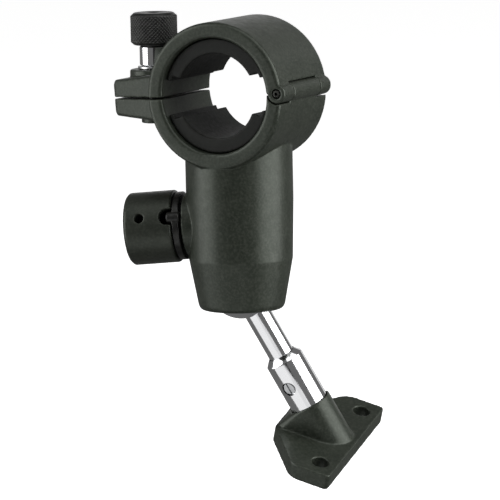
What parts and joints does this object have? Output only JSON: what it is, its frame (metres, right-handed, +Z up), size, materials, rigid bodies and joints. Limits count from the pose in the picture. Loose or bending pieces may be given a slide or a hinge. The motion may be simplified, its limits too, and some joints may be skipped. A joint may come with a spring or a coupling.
{
  "type": "umbrella swivel bracket",
  "caption": "Hinged tube clamp with a thumbscrew over a housing whose side knob locks a ball joint; the ball's leaning stem carries a small D-shaped screw-on base plate.",
  "frame": {"origin": "on the clamp ring's axis, at the middle of its depth", "axes": "+Y along the clamped tube, towards the back; -X towards the clamping lugs, +X towards the hinge; +Z up, away from the housing that hangs below the ring"},
  "size_m": [0.0851, 0.0718, 0.174],
  "materials": {
    "cast_black": "satin black powder coat on a casting",
    "knob_black": "smooth satin black",
    "knurled_black": "knurled, black oxide",
    "pad_black": "matt moulded pad",
    "polished_steel": "polished, plated steel",
    "pin_steel": "plain turned steel",
    "dark_steel": "blackened steel",
    "brass": "turned",
    "nylon": "moulded nylon"
  },
  "bodies": {
    "body": {"clamp_body": "cast_black", "hinge_pin": "pin_steel", "lower_pad": "pad_black", "lug_insert": "brass", "wedge_plunger": "pin_steel", "ball_retainer": "cast_black"},
    "cap": {"clamp_cap": "cast_black", "upper_pad": "pad_black"},
    "washer": {"screw_washer": "pin_steel"},
    "thumbscrew": {"thumbscrew_shank": "polished_steel", "thumbscrew_knob": "knurled_black"},
    "spindle": {"lock_spindle": "dark_steel", "knob_end_screw": "dark_steel", "knob_spring": "pin_steel"},
    "knob": {"lock_knob": "knob_black"},
    "seat": {"swivel_seat": "nylon"},
    "stem": {"ball_stem": "polished_steel"},
    "foot": {"stem_sleeve": "polished_steel", "sleeve_set_screw": "pin_steel", "base_plate": "cast_black"}
  },
  "joints": [
    {"name": "cap_hinge", "type": "hinge", "parent": "body", "child": "cap", "pos_m": [0.02536, 0, 0.00146], "axis": [0, 1, 0], "range_deg": [0, 100]},
    {"name": "screw_lift", "type": "slide", "parent": "cap", "child": "washer", "axis": [0, 0, 1], "range_m": [0, 0.01]},
    {"name": "screw_turn", "type": "hinge", "parent": "washer", "child": "thumbscrew", "pos_m": [-0.03404, 0, -0.00196], "axis": [0, 0, 1], "range_deg": [0, 3600]},
    {"name": "lock_turn", "type": "hinge", "parent": "body", "child": "spindle", "pos_m": [0, 0, -0.048], "axis": [-0.9673, -0.2412, -0.0785], "range_deg": [0, 360]},
    {"name": "lock_pull", "type": "slide", "parent": "spindle", "child": "knob", "axis": [-0.9673, -0.2412, -0.0785], "range_m": [0, 0.003], "stiffness_N_per_m": 600, "springref_m": -0.004, "deforming": ["knob_spring"]},
    {"name": "ball_swivel", "type": "hinge", "parent": "body", "child": "seat", "pos_m": [0, 0, -0.0717], "axis": [0, 0, 1], "continuous": true},
    {"name": "ball_tilt", "type": "hinge", "parent": "seat", "child": "stem", "pos_m": [0, 0, -0.0717], "axis": [-0.6004, 0.7997, 0], "range_deg": [-7, 64]},
    {"name": "stem_turn", "type": "hinge", "parent": "stem", "child": "foot", "pos_m": [0, 0, -0.0717], "axis": [-0.3828, -0.2874, 0.878], "continuous": true}
  ],
  "couplings": [
    {"joint": "screw_turn", "follows": "screw_lift", "rad_per_m": 6283.1}
  ]
}
